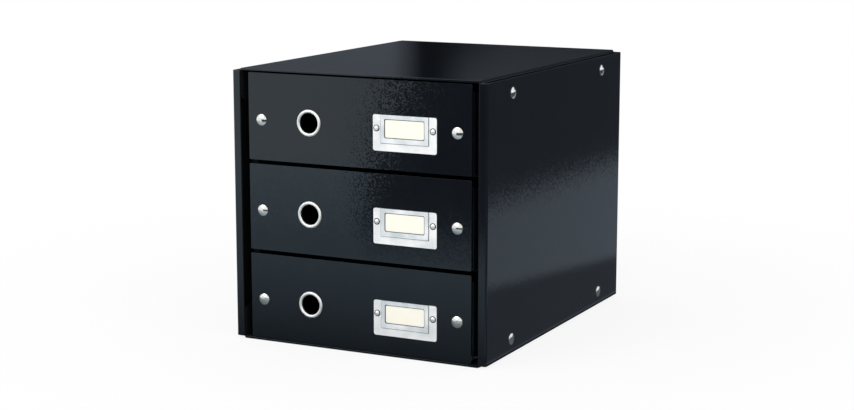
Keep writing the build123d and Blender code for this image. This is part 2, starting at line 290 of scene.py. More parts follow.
card_stock = index_card()
print("finish:", card_stock.name)

# %% [markdown]
# ## From mesh to piece
# Every new piece is shaped in a bmesh, at its place in the cabinet, so its object stays at the origin.
# The board's edges are not knife-sharp: film is wrapped round them. A Bevel modifier rounds whatever is
# left square, and Weighted Normal keeps the large faces flat to the light, so that only the rounded edges
# catch a highlight.

# %% Piece helper
edge_steps = 3
sharp_angle = math.radians(35)


def make_piece(name, bm, finishes, node, edge_round):
    """A bmesh as a finished piece that stands for a CAD node and rides on that node's body."""
    mesh = bpy.data.meshes.new(name)
    bm.to_mesh(mesh)
    bm.free()
    for finish in finishes:
        mesh.materials.append(finish)
    mesh.shade_smooth()
    piece = bpy.data.objects.new(name, mesh)
    scene.collection.objects.link(piece)
    rounding = piece.modifiers.new("edge_round", "BEVEL")
    rounding.width = edge_round
    rounding.segments = edge_steps
    rounding.limit_method = "ANGLE"
    rounding.angle_limit = sharp_angle
    flats = piece.modifiers.new("flat_faces", "WEIGHTED_NORMAL")
    flats.keep_sharp = True
    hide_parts(node)
    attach(piece, frame["nodes"][node]["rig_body"])
    return piece


# %% [markdown]
# ## Small bmesh helpers
# A bmesh operator is told what to work on, and returns a mixed list of what it made.
# Two short functions take care of that, and a third runs a flat sheet out into a board.

# %% Bmesh helpers
def everything(bm):
    """All vertices, edges and faces of a bmesh, as the cutting and turning operators want them."""
    return bm.verts[:] + bm.edges[:] + bm.faces[:]


def new_corners(grown):
    """The vertices among what an extrusion has made."""
    return [part for part in grown["geom"] if isinstance(part, bmesh.types.BMVert)]


def thicken(bm, vector):
    """Run every face of a flat sheet out along a vector, which leaves a closed board."""
    grown = bmesh.ops.extrude_face_region(bm, geom=bm.faces[:])
    bmesh.ops.translate(bm, vec=vector, verts=new_corners(grown))
    bmesh.ops.recalc_face_normals(bm, faces=bm.faces)


# %% [markdown]
# ## Folding a board
# A folded board has the same section all along, so it is drawn as a flat outline, its folds are rounded with
# a vertex bevel, and the outline is run out to its length. Boxes joined with booleans would leave seams
# at the folds.
# A board is 2 mm thick, and folds round half a millimetre on its inner face.

# %% Folded board helper
board = 2 * MM
fold_inside = 0.5 * MM
fold_outside = fold_inside + board
wrapped_edge = 0.45 * MM
cut_reach = 0.01 * MM
inner_steps = 3
outer_steps = 8


def folded(outline, inner_folds, outer_folds, run, cuts=()):
    """The outline of a folded board's section, rounded at its folds and run out along a vector."""
    bm = bmesh.new()
    corners = [bm.verts.new(point) for point in outline]
    bm.faces.new(corners)
    inner = (inner_folds, fold_inside, inner_steps)
    outer = (outer_folds, fold_outside, outer_steps)
    for folds, radius, steps in (inner, outer):
        bmesh.ops.bevel(bm, geom=[corners[fold] for fold in folds], offset=radius, affect="VERTICES",
                        segments=steps, profile=0.5, material=-1, clamp_overlap=False)
    for place, across in cuts:
        bmesh.ops.bisect_plane(bm, geom=everything(bm), plane_co=place, plane_no=across, dist=cut_reach)
    thicken(bm, run)
    return bm


def line_inside(bm, centre):
    """Give the lining, the second finish, to the broad faces that look towards the inside."""
    broad = 6 * board * board
    for face in bm.faces:
        looks_in = face.normal.dot(centre - face.calc_center_median()) > 0
        face.material_index = 1 if looks_in and face.calc_area() > broad else 0


# %% [markdown]
# ## Side panels
# Each side is one board, folded in at the front and at the back. The front return is the narrow upright strip
# beside the drawers. Left and right are the same outline with X turned round.

# %% Side panels
middle = (cad_box[0] + cad_box[1]) / 2
for side, sign in (("left", -1), ("right", 1)):
    low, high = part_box(f"{side}_side_panel")
    wall, tip = sorted((abs(low.x), abs(high.x)), reverse=True)
    front, rear, foot = low.y, high.y, low.z
    plan = [(tip, front), (wall, front), (wall, rear), (tip, rear), (tip, rear - board),
            (wall - board, rear - board), (wall - board, front + board), (tip, front + board)]
    bm = folded([(sign * x, y, foot) for x, y in plan], (5, 6), (1, 2), Vector((0, 0, high.z - low.z)))
    line_inside(bm, middle)
    piece = make_piece(f"{side}_side_board", bm, (film, lining), f"{side}_side_panel",
                       wrapped_edge)
    print(piece.name, "stands", round((high.z - low.z) / MM, 1), "mm high")

# %% [markdown]
# ## Top and bottom panels
# The top is a sheet with a flap folded down inside each side panel, and the bottom is the same sheet
# upside down.
# The sheet reaches further forward and back than its flaps, so the section is cut into three
# before it is run out, and the ends of the middle part are then drawn out by themselves.

# %% Top and bottom panels
wrap_slack = 0.03 * MM
flap_front_step = 2 * MM
flap_rear_step = 4.1 * MM
flap_corner = 8 * MM
flap_steps = 6
for end, sign in (("top", 1), ("bottom", -1)):
    low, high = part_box(f"{end}_panel")
    outside, inside = (high.z - wrap_slack, low.z) if sign > 0 else (low.z + wrap_slack, high.z)
    edge = high.x
    first, last = low.y + flap_front_step, high.y - flap_rear_step
    under = outside - sign * board
    section = [(-edge, inside), (-edge, outside), (edge, outside), (edge, inside),
               (edge - board, inside), (edge - board, under), (board - edge, under), (board - edge, inside)]
    crease = edge - fold_outside
    bm = folded([(x, first, z) for x, z in section], (5, 6), (1, 2), Vector((0, last - first, 0)),
                [((x, 0, 0), (1, 0, 0)) for x in (-crease, crease)])
    for face_y, goal_y in ((first, low.y), (last, high.y)):
        ends = [f for f in bm.faces if abs(f.calc_center_median().y - face_y) < fold_inside
                and abs(f.calc_center_median().x) < board]
        grown = bmesh.ops.extrude_discrete_faces(bm, faces=ends)
        bmesh.ops.translate(bm, vec=Vector((0, goal_y - face_y, 0)), verts=grown["faces"][0].verts[:])
    flap_ends = [e for e in bm.edges if all(abs(v.co.z - inside) < fold_inside for v in e.verts)
                 and abs(e.verts[0].co.y - e.verts[1].co.y) < fold_inside]
    bmesh.ops.bevel(bm, geom=flap_ends, offset=flap_corner, affect="EDGES", segments=flap_steps,
                    profile=0.5, material=-1)
    bmesh.ops.recalc_face_normals(bm, faces=bm.faces)
    line_inside(bm, middle)
    piece = make_piece(f"{end}_board", bm, (film, lining), f"{end}_panel", wrapped_edge)
    print(piece.name, "has", len(flap_ends), "rounded flap corners")

# %% [markdown]
# ## Flat sheets with rounded corners
# Drawer fronts, label windows and label cards all start as an upright rectangle with rounded corners.
# The rounding is a vertex bevel, so that each corner is one radius and stays in the plane of the sheet.

# %% Flat sheet helpers
corner_steps = 5


def rectangle(low_x, high_x, low_z, high_z, y):
    """The corners of an upright rectangle that faces the viewer."""
    return [(low_x, y, low_z), (high_x, y, low_z), (high_x, y, high_z), (low_x, y, high_z)]


def rounded_sheet(bm, corners, radius):
    """Add a flat face through four or more corners, each rounded."""
    points = [bm.verts.new(corner) for corner in corners]
    bm.faces.new(points)
    bmesh.ops.bevel(bm, geom=points, offset=radius, affect="VERTICES", segments=corner_steps, profile=0.5,
                    material=-1)


# %% [markdown]
# ## Drawer fronts
# A drawer front is a flat board with film wrapped round its edges and a round hole for the finger ring.
# The outline and the hole are two loops of edges in one plane; filling between them leaves the hole open,
# which is simpler and cleaner than cutting it out with a boolean.
# Behind, the film is turned in by a finger's width and the rest is lined.

# %% Drawer fronts
levels = ("bottom", "middle", "top")
front_corner = 1.2 * MM
front_edge = 0.6 * MM
ring_bore = 20.5 * MM
barrel_wall = 0.9 * MM
turn_in = 12 * MM
round_steps = 96
mostly = 0.5
for level in levels:
    low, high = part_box(f"{level}_drawer_front")
    ring_low, ring_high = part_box(f"{level}_finger_ring")
    ring_middle = (ring_low + ring_high) / 2
    bm = bmesh.new()
    rounded_sheet(bm, rectangle(low.x, high.x, low.z, high.z, low.y), front_corner)
    hole_middle = Vector((ring_middle.x, low.y, ring_middle.z))
    hole_place = Matrix.Translation(hole_middle) @ Matrix.Rotation(math.pi / 2, 4, "X")
    bmesh.ops.create_circle(bm, segments=round_steps, radius=ring_bore / 2 + barrel_wall, matrix=hole_place)
    bmesh.ops.delete(bm, geom=bm.faces[:], context="FACES_ONLY")
    bmesh.ops.triangle_fill(bm, edges=bm.edges[:], use_beauty=True)
    thicken(bm, Vector((0, high.y - low.y, 0)))
    for x in (low.x + turn_in, high.x - turn_in):
        bmesh.ops.bisect_plane(bm, geom=everything(bm), plane_co=(x, 0, 0), plane_no=(1, 0, 0))
    for z in (low.z + turn_in, high.z - turn_in):
        bmesh.ops.bisect_plane(bm, geom=everything(bm), plane_co=(0, 0, z), plane_no=(0, 0, 1))
    for face in bm.faces:
        spot = face.calc_center_median()
        lined_across = low.x + turn_in < spot.x < high.x - turn_in
        lined_upright = low.z + turn_in < spot.z < high.z - turn_in
        face.material_index = int(face.normal.y > mostly and lined_across and lined_upright)
    piece = make_piece(f"{level}_drawer_board", bm, (film, lining), f"{level}_drawer_front",
                       front_edge)
    print(piece.name, "is", round((high.x - low.x) / MM, 1), "by", round((high.z - low.z) / MM, 1), "mm")

# %% [markdown]
# ## Walls of the drawer trays
# One strip of board is folded round the sides and the back, with two flaps turned in at the front that the
# studs hold. The folding helper makes the strip; the flaps are then lifted clear of the floor, and their
# free corners are rounded. Along the top the film is turned in, and the rest of the inside is lined.

# %% Tray walls
stud_gap = 5 * MM
flap_length = 30.2 * MM
flap_lift = 3.5 * MM
flap_round = 6 * MM
glue_gap = 0.05 * MM


def tray_walls(low, high):
    edge, rear, flap = high.x, high.y, low.y + stud_gap
    flap_end = edge - flap_length
    strip = [(-flap_end, flap), (-edge, flap), (-edge, rear), (edge, rear), (edge, flap), (flap_end, flap),
             (flap_end, flap + board), (edge - board, flap + board), (edge - board, rear - board),
             (board - edge, rear - board), (board - edge, flap + board), (-flap_end, flap + board)]
    bm = folded([(x, y, low.z) for x, y in strip], (7, 8, 9, 10), (1, 2, 3, 4),
                Vector((0, 0, high.z - low.z)))
    flap_foot = [v for v in bm.verts if v.co.z < low.z + glue_gap and v.co.y < flap + board + glue_gap
                 and abs(v.co.x) < edge - fold_outside + glue_gap]
    bmesh.ops.translate(bm, vec=(0, 0, flap_lift), verts=flap_foot)
    flap_tips = [e for e in bm.edges if all(v.co.z > high.z - glue_gap for v in e.verts)
                 and all(abs(abs(v.co.x) - flap_end) < glue_gap for v in e.verts)]
    bmesh.ops.bevel(bm, geom=flap_tips, offset=flap_round, affect="EDGES", segments=flap_steps,
                    profile=0.5, material=-1)
    bmesh.ops.bisect_plane(bm, geom=everything(bm), plane_co=(0, 0, high.z - turn_in), plane_no=(0, 0, 1))
    line_inside(bm, Vector((0, (low.y + high.y) / 2, (low.z + high.z) / 2)))
    for face in bm.faces:
        if face.calc_center_median().z > high.z - turn_in:
            face.material_index = 0
    return bm


# %% [markdown]
# ## Drawer trays
# The floor is a second board, glued inside the strip. Both of its faces are lined.
# An extrusion leaves its new face without a link to the old corners, so the faces are found from both ends.

# %% Drawer trays
def add_tray_floor(bm, low, high):
    edge = high.x - board - glue_gap
    rear = high.y - board - glue_gap
    floor_bottom = [bm.verts.new((x, y, low.z))
                    for x, y in ((-edge, low.y), (edge, low.y), (edge, rear), (-edge, rear))]
    sheet = bm.faces.new(floor_bottom)
    grown = bmesh.ops.extrude_face_region(bm, geom=[sheet])
    floor_top = new_corners(grown)
    bmesh.ops.translate(bm, vec=(0, 0, board), verts=floor_top)
    for corner in floor_bottom + floor_top:
        for face in corner.link_faces:
            face.material_index = 1
    bmesh.ops.recalc_face_normals(bm, faces=bm.faces)


for level in levels:
    low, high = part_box(f"{level}_drawer_tray")
    bm = tray_walls(low, high)
    add_tray_floor(bm, low, high)
    piece = make_piece(f"{level}_tray_board", bm, (film, lining), f"{level}_drawer_tray",
                       wrapped_edge)
    print(piece.name, "has walls", round((high.z - low.z) / MM, 1), "mm high")

# %% [markdown]
# ## Turned metal
# Stud caps, rivets and finger rings are round, so each is half a section, spun through a full turn.
# The dome of a cap is itself a spin: one vertex at its top is swung about the centre of the dome's sphere.

# %% Spinning helpers
dome_steps = 14
seam_reach = 0.001 * MM


def dome(bm, radius, rise, height):
    """An arc of edges from the top of a dome, at a height, down to its rim; returns the rim's vertex."""
    sphere = (radius ** 2 + rise ** 2) / (2 * rise)
    top = bm.verts.new((0, 0, height))
    swing = bmesh.ops.spin(bm, geom=[top], cent=(0, 0, height - sphere), axis=(0, 1, 0),
                           angle=math.asin(radius / sphere), steps=dome_steps)
    return next(v for v in swing["geom_last"] if isinstance(v, bmesh.types.BMVert))


def chain(bm, first, points):
    """Edges from a vertex on through the given points of a half section."""
    for x, z in points:
        following = bm.verts.new((x, 0, z))
        bm.edges.new((first, following))
        first = following


def spin_full(bm):
    """A full turn about Z, closed at its seam and at its poles."""
    bmesh.ops.spin(bm, geom=bm.verts[:] + bm.edges[:], cent=(0, 0, 0), axis=(0, 0, 1), angle=2 * math.pi,
                   steps=round_steps, use_merge=True)
    bmesh.ops.remove_doubles(bm, verts=bm.verts[:], dist=seam_reach)
    bmesh.ops.recalc_face_normals(bm, faces=bm.faces)


# %% [markdown]
# ## Copies of a turned shape
# One bmesh of a shape is copied to every place where the cabinet has it. A place is a matrix whose Z axis
# points away from the board, so the same shape serves the drawer fronts and the sides.

# %% Copying helpers
front_way = (0, -1, 0)


def set_out(shape, places):
    """A bmesh with a copy of a shape at each place."""
    pattern = bpy.data.meshes.new("pattern")
    shape.to_mesh(pattern)
    shape.free()
    bm = bmesh.new()
    for place in places:
        known = len(bm.verts)
        bm.from_mesh(pattern)
        bm.verts.ensure_lookup_table()
        bmesh.ops.transform(bm, matrix=place, verts=bm.verts[known:])
    bpy.data.meshes.remove(pattern)
    return bm


def facing(direction, place):
    """A place whose Z axis points along a direction."""
    return Matrix.Translation(place) @ Vector(direction).to_track_quat("Z", "Y").to_matrix().to_4x4()


def front_pair(low, high, inset, front_y):
    """Two places on a drawer front, each an inset from an end of a box and halfway up it."""
    return [facing(front_way, (x, front_y, (low.z + high.z) / 2)) for x in (low.x + inset, high.x - inset)]


# %% [markdown]
# ## Press studs
# Each stud shows a low polished dome, 11.9 mm across, with a thin upright rim that stands on the film.
# Two hold each drawer's front to its tray, and four hold each side panel to the flaps.

# %% Press stud caps
cap_low, cap_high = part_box("bottom_stud_caps")
cap_seat = (cap_high.z - cap_low.z) / 2
cap_roll = 0.2 * MM
cap_radius = cap_seat - cap_roll
cap_height = 1.9 * MM
cap_rim = 0.5 * MM
cap_edge = 0.22 * MM
shank_radius = 2.0 * MM
shank_length = 2.8 * MM


def stud_cap():
    bm = bmesh.new()
    rim = dome(bm, cap_radius, cap_height - cap_rim, cap_height)
    chain(bm, rim, [(cap_radius, 0), (shank_radius, 0), (shank_radius, -shank_length), (0, -shank_length)])
    spin_full(bm)
    return bm


for side, sign in (("left", -1), ("right", 1)):
    low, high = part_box(f"{side}_stud_caps")
    panel_low, panel_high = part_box(f"{side}_side_panel")
    wall = panel_low.x if sign < 0 else panel_high.x
    places = [facing((sign, 0, 0), (wall, y, z)) for y in (low.y + cap_seat, high.y - cap_seat)
              for z in (low.z + cap_seat, high.z - cap_seat)]
    piece = make_piece(f"{side}_stud_domes", set_out(stud_cap(), places), (polished,), f"{side}_stud_caps",
                       cap_edge)
    print(piece.name, "at", len(places), "places")

for level in levels:
    low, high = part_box(f"{level}_stud_caps")
    front_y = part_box(f"{level}_drawer_front")[0].y
    places = front_pair(low, high, cap_seat, front_y)
    piece = make_piece(f"{level}_stud_domes", set_out(stud_cap(), places), (polished,), f"{level}_stud_caps",
                       cap_edge)
    print(piece.name, "at", len(places), "places")

# %% [markdown]
# ## Finger rings
# Each drawer is pulled by a finger in a rolled eyelet. Its rim is one smooth roll from the board to the bore,
# so the section is a plain outline whose two front corners are rounded until they meet.
# Only the roll is bright: the barrel that goes through the board gets the dark steel, which paints the shade
# inside the bore.

# %% Finger rings
ring_radius = 13.75 * MM
ring_height = 1.7 * MM
barrel_length = 2.8 * MM
barrel_round = 0.25 * MM
dark_barrel_depth = 0.5 * MM
roll_steps = 9


def finger_eyelet():
    bm = bmesh.new()
    bore, barrel = ring_bore / 2, ring_bore / 2 + barrel_wall
    section = [(bore, -barrel_length), (bore, ring_height), (ring_radius, ring_height), (ring_radius, 0),
               (barrel, 0), (barrel, -barrel_length)]
    points = [bm.verts.new((x, 0, z)) for x, z in section]
    bm.faces.new(points)
    roll = (ring_radius - bore) / 2 - glue_gap
    bmesh.ops.bevel(bm, geom=points[1:3], offset=roll, affect="VERTICES", segments=roll_steps, profile=0.5,
                    material=-1)
    bmesh.ops.delete(bm, geom=bm.faces[:], context="FACES_ONLY")
    spin_full(bm)
    # The barrel's dark steel is painted shade inside the bore
    for face in bm.faces:
        face.material_index = int(face.calc_center_median().z < dark_barrel_depth)
    return bm


for level in levels:
    low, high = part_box(f"{level}_finger_ring")
    front_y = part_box(f"{level}_drawer_front")[0].y
    place = facing(front_way, ((low.x + high.x) / 2, front_y, (low.z + high.z) / 2))
    piece = make_piece(f"{level}_finger_eyelet", set_out(finger_eyelet(), [place]), (rolled, cut_edge_and_shade),
                       f"{level}_finger_ring", barrel_round)
    print(piece.name, "bore", ring_bore / MM, "mm")

# %% [markdown]
# ## Plate and pocket of a label holder
# A holder is pressed from half-millimetre sheet: a flat plate with a shallow pocket that is open at the top,
# and a window through the pocket's front. It is built as the press makes it. First the plate is drawn
# round the pocket, and the pocket's three sides are drawn forward, leaning in a little as they go.

# %% Plate and pocket
steel = 0.5 * MM
plate_corner = 2.2 * MM
plate_steps = 6
pocket_half = 26.8 * MM
pocket_margin = 7.4 * MM
pocket_corner = 1.0 * MM
pocket_steps = 4
pocket_slope = 0.6 * MM


def plate_with_pocket(bm, low, high):
    """Add the plate and the pocket's sides; returns the corners and the edges of the pocket's front rim."""
    middle_x = (low.x + high.x) / 2
    plate_y, pocket_y = high.y - steel, low.y
    pocket_floor = low.z + pocket_margin
    left, right = middle_x - pocket_half, middle_x + pocket_half
    outline = [(low.x, high.z), (low.x, low.z), (high.x, low.z), (high.x, high.z),
               (right, high.z), (right, pocket_floor), (left, pocket_floor), (left, high.z)]
    points = [bm.verts.new((x, plate_y, z)) for x, z in outline]
    bm.faces.new(points)
    bmesh.ops.bevel(bm, geom=points[5:7], offset=pocket_corner, affect="VERTICES", segments=pocket_steps,
                    profile=0.5, material=-1)
    bmesh.ops.bevel(bm, geom=points[:4], offset=plate_corner, affect="VERTICES", segments=plate_steps,
                    profile=0.5, material=-1)
    pocket_sides = [e for e in bm.edges if all(left - glue_gap < v.co.x < right + glue_gap
                                               and v.co.z > pocket_floor - glue_gap for v in e.verts)]
    grown = bmesh.ops.extrude_edge_only(bm, edges=pocket_sides)
    rim = new_corners(grown)
    bmesh.ops.translate(bm, vec=(0, pocket_y - plate_y, 0), verts=rim)
    slope = 1 - pocket_slope / pocket_half
    bmesh.ops.scale(bm, vec=(slope, 1, slope), verts=rim, space=Matrix.Translation((-middle_x, 0, -high.z)))
    rim_edges = [e for e in grown["geom"]
                 if isinstance(e, bmesh.types.BMEdge) and all(v in rim for v in e.verts)]
    open_ends = [v for v in rim if v.co.z > high.z - glue_gap]
    rim_edges.append(bm.edges.new(open_ends))
    return rim, rim_edges


# %% [markdown]
# ## Window of a label holder
# A loop with rounded corners becomes the window, and the frame between it and the pocket's rim is filled.
# Then the sheet gets its thickness. Solidify works along the normals, so all of them have to face forward.

# %% Window and thickness
window_half = 21.4 * MM
window_height = 17.6 * MM
window_drop = 4.8 * MM
window_corner = 1.6 * MM


def window_in_pocket(bm, low, high, rim, rim_edges):
    """Fill the pocket's front round its window, and give the sheet its thickness."""
    middle_x = (low.x + high.x) / 2
    pocket_y = low.y
    window_top = high.z - window_drop
    window = rectangle(middle_x - window_half, middle_x + window_half, window_top - window_height, window_top,
                       pocket_y)
    rounded_sheet(bm, window, window_corner)
    window_edges = [e for e in bm.edges if len(e.link_faces) == 1 and all(
        abs(v.co.y - pocket_y) < glue_gap and v not in rim for v in e.verts)]
    window_fill = [f for f in bm.faces if all(abs(v.co.y - pocket_y) < glue_gap for v in f.verts)]
    bmesh.ops.delete(bm, geom=window_fill, context="FACES_ONLY")
    bmesh.ops.triangle_fill(bm, edges=rim_edges + window_edges, use_beauty=True)
    bmesh.ops.recalc_face_normals(bm, faces=bm.faces)
    if sum(f.normal.y * f.calc_area() for f in bm.faces) > 0:
        bmesh.ops.reverse_faces(bm, faces=bm.faces)
    bmesh.ops.solidify(bm, geom=bm.faces[:], thickness=steel)
    bmesh.ops.recalc_face_normals(bm, faces=bm.faces)


# %% [markdown]
# ## Label holders
# The window's cut edge is bare steel and leans outwards as a narrow lip, and its dark steel also paints
# the shade round the window. The pocket's walls are painted darker as shade, and its front a little greyer
# than the plate as a painted reflection.
# Each of these faces is found by where it lies and gets its own finish.

# %% Label holders
window_lip = 0.7 * MM
press_edge = 0.16 * MM


def press_marks(bm, low, high):
    """Pick the finish of each face of a holder, and lean the window's cut edge outwards."""
    pocket_y = low.y
    centre = Vector(((low.x + high.x) / 2, 0, high.z - window_drop - window_height / 2))
    near_window = [f for f in bm.faces if abs(f.normal.y) < mostly
                   and all(abs(v.co.x - centre.x) < window_half + glue_gap
                           and abs(v.co.z - centre.z) < window_height / 2 + glue_gap for v in f.verts)]
    # Window lip: bare cut steel, whose dark colour also paints the shade round the window
    for face in near_window:
        face.material_index = 1
    # The pocket's walls get painted shade, and the pocket's front a painted reflection
    for face in bm.faces:
        depths = [v.co.y for v in face.verts]
        if max(depths) - min(depths) > steel + glue_gap:
            face.material_index = 2
        elif max(depths) < pocket_y + glue_gap:
            face.material_index = 3
    lip = {v for f in near_window for v in f.verts if v.co.y < pocket_y + glue_gap}
    widen = (1 + window_lip / window_half, 1, 1 + 2 * window_lip / window_height)
    bmesh.ops.scale(bm, vec=widen, verts=list(lip), space=Matrix.Translation(-centre))


for level in levels:
    low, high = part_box(f"{level}_label_holder")
    bm = bmesh.new()
    rim, rim_edges = plate_with_pocket(bm, low, high)
    window_in_pocket(bm, low, high, rim, rim_edges)
    press_marks(bm, low, high)
    piece = make_piece(f"{level}_label_frame", bm, (satin, cut_edge_and_shade, pocket_wall_shade, pocket_front_reflection),
                       f"{level}_label_holder", press_edge)
    print(piece.name, "is", [round(side / MM, 2) for side in piece.dimensions], "mm")

# %% [markdown]
# ## Label rivets
# Two small rivets hold each plate to its drawer front. The head is a low dome that stands in a punched
# collar, and the collar's dark steel is a painted shadow that draws the dark line round the head.
# Both are one half section, spun once, and the faces of the collar are found afterwards by how far they lie
# from the axis.

# %% Label rivets
collar_radius = 3.4 * MM
collar_height = 0.12 * MM
rivet_radius = 2.5 * MM
rivet_height = 1.1 * MM
rivet_rim = 0.35 * MM
rivet_shank = 1.4 * MM
tail_radius = 2.5 * MM
tail_height = 0.8 * MM
rivet_edge = 0.1 * MM


def label_rivet():
    bm = bmesh.new()
    top = steel + rivet_height
    rim_height = steel + collar_height + rivet_rim
    rim = dome(bm, rivet_radius, top - rim_height, top)
    chain(bm, rim, [(rivet_radius, steel + collar_height), (collar_radius, steel + collar_height),
                    (collar_radius, steel), (rivet_shank, steel), (rivet_shank, -board),
                    (tail_radius, -board), (tail_radius, -board - tail_height), (0, -board - tail_height)])
    spin_full(bm)
    # The collar's faces get the dark steel: a painted shadow round the head
    for face in bm.faces:
        reach = face.calc_center_median().to_2d().length
        face.material_index = int(reach > rivet_radius - glue_gap and face.calc_center_median().z > 0)
    return bm


for level in levels:
    low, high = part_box(f"{level}_label_rivets")
    front_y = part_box(f"{level}_drawer_front")[0].y
    places = front_pair(low, high, (high.z - low.z) / 2, front_y)
    piece = make_piece(f"{level}_rivet_heads", set_out(label_rivet(), places), (rolled, cut_edge_and_shade),
                       f"{level}_label_rivets", rivet_edge)
    print(piece.name, "at", len(places), "places")

# %% [markdown]
# ## Label cards
# A card slides into the pocket from above. Its corners are clipped round,
# and its cut edges are barely softened.

# %% Label cards
card_corner = 1.0 * MM
card_edge = 0.06 * MM
for level in levels:
    low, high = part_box(f"{level}_label_card")
    bm = bmesh.new()
    rounded_sheet(bm, rectangle(low.x, high.x, low.z, high.z, low.y), card_corner)
    thicken(bm, Vector((0, high.y - low.y, 0)))
    piece = make_piece(f"{level}_paper_label", bm, (card_stock,), f"{level}_label_card",
                       card_edge)
    print(piece.name, "is", round((high.y - low.y) / MM, 2), "mm thick")

# %% [markdown]
# ## Pieces that keep their CAD shape
# The inside boards, the washers and the hidden halves of the studs are right as they come,
# and get their finishes here.

# %% Finishes for the other CAD nodes
inner_finishes = {"back_panel": film, "guide_wall": lining, "shelf": lining,
                  "socket": zinc, "post": zinc, "washer": zinc}
for name, node in frame["nodes"].items():
    if not node.hide_render:
        finish = next(finish for word, finish in inner_finishes.items() if word in name)
        for slot in node.material_slots:
            slot.material = finish
        print(name, "gets", finish.name)

# %% [markdown]
# ## Two helpers for the studio
# The floor and the cards belong to the studio, not to the cabinet.
# The Light Path node tells the rays that show a background from those that carry light, so the background
# can be white without more light on the cabinet.

# %% Studio helpers
def add_stage(name, bm, finish):
    """An object that belongs to the studio and not to the cabinet."""
    mesh = bpy.data.meshes.new(name)
    bm.to_mesh(mesh)
    bm.free()
    mesh.materials.append(finish)
    thing = bpy.data.objects.new(name, mesh)
    scene.collection.objects.link(thing)
    return thing


def seen_rays(tree):
    """1 for the rays that show a background: straight to the camera, in a mirror or through glass."""
    rays = add(tree, "ShaderNodeLightPath", {})
    mirror = add(tree, "ShaderNodeMath",
                 {0: rays.outputs["Is Glossy Ray"], 1: rays.outputs["Is Transmission Ray"]},
                 operation="MAXIMUM")
    seen = add(tree, "ShaderNodeMath", {0: rays.outputs["Is Camera Ray"], 1: mirror.outputs[0]},
               operation="MAXIMUM")
    return seen.outputs[0]


# %% [markdown]
# ## Floor
# The floor is plain and white. Near the cabinet it is a dull surface that keeps the soft shadow,
# and further out it turns to the white of the background, so that no horizon shows.

# %% Floor
floor_radius = 9.0
fade_start = 0.3
fade_end = 0.9
near_white_share = 0.85


def white_floor():
    material, tree, shader, place = new_finish("white_floor")
    reach = add(tree, "ShaderNodeVectorMath", {0: place}, operation="LENGTH")
    fade = add(tree, "ShaderNodeMapRange",
               {"Value": reach.outputs["Value"], "From Min": fade_start, "From Max": fade_end,
                "To Min": near_white_share}, interpolation_type="SMOOTHSTEP")
    shown = add(tree, "ShaderNodeMath", {0: fade.outputs[0], 1: seen_rays(tree)}, operation="MULTIPLY")
    white = add(tree, "ShaderNodeEmission", {"Color": linear("#FFFFFF"), "Strength": 1.0})
    mixed = add(tree, "ShaderNodeMixShader", {0: shown.outputs[0], 1: shader.outputs[0], 2: white.outputs[0]})
    tree.links.new(mixed.outputs[0], tree.nodes["Material Output"].inputs["Surface"])
    shader.inputs["Base Color"].default_value = linear("#FBFBFB")
    shader.inputs["Roughness"].default_value = 0.95
    shader.inputs["Specular IOR Level"].default_value = 0.0
    return material


bm = bmesh.new()
bmesh.ops.create_circle(bm, cap_ends=True, segments=round_steps, radius=floor_radius)
floor = add_stage("floor", bm, white_floor())
print("floor is", round(floor.dimensions.x, 1), "m across")

# %% [markdown]
# ## Room light
# A white room lights everything softly. Where it is seen, straight or in a mirror, it is plain white;
# what it sends on to the cabinet is a little less, which leaves room for the lamps.

# %% Room light
room_light = 0.85
world = bpy.data.worlds.new("white_room")
scene.world = world
world.use_nodes = True
room = add(world.node_tree, "ShaderNodeMapRange",
           {"Value": seen_rays(world.node_tree), "To Min": room_light, "To Max": 1.0})
world.node_tree.nodes["Background"].inputs["Color"].default_value = linear("#FFFFFF")
world.node_tree.links.new(room.outputs[0], world.node_tree.nodes["Background"].inputs["Strength"])
print("room light", room_light)

# %% [markdown]
# ## Softboxes
# A large softbox at the front left is the key, and a smaller one fills the right.
# Both are area lamps, because the size of a lamp decides how soft its shadow is.

# %% Softboxes
def softbox(name, place, target, size, power):
    lamp = bpy.data.lights.new(name, "AREA")
    lamp.size = size
    lamp.energy = power
    box = bpy.data.objects.new(name, lamp)
    box.location = place
    box.rotation_euler = (Vector(target) - Vector(place)).to_track_quat("-Z", "Y").to_euler()
    scene.collection.objects.link(box)
    print(name, "gives", power, "W")


lamp_target = (0, 0, 0.1)
softbox("key_softbox", place=(-1.1, -2.2, 1.4), target=lamp_target, size=1.5, power=18)
softbox("fill_softbox", place=(2.2, -0.9, 1.8), target=lamp_target, size=1.2, power=6)

# %% [markdown]
# ## Reflection cards
# A photographer shapes the reflections on black gloss with cards that stand outside the picture.
# Here the cards are glowing sheets that show only in mirror-like reflections: they light nothing, cast
# no shadow, and the camera doesn't see them. Each corner of a card has a shade of its own, kept in the mesh
# as an attribute that sets how brightly the card glows there,
# so a soft edge is two neighbouring corners with different shades.

# %% Reflection cards
def card_glow_finish(name, tint):
    """A tinted glow whose strength is the shade that each corner of a card is given, blended between the
    corners.
    """
    material, tree = new_finish(name)[:2]
    shade = add(tree, "ShaderNodeAttribute", {}, attribute_name="shade")
    glow = add(tree, "ShaderNodeEmission", {"Color": linear(tint), "Strength": shade.outputs["Fac"]})
    tree.links.new(glow.outputs[0], tree.nodes["Material Output"].inputs["Surface"])
    return material


cool_glow = card_glow_finish("cool_glowing_card", "#E7F7FF")
blue_glow = card_glow_finish("blue_glowing_card", "#E0EEFF")


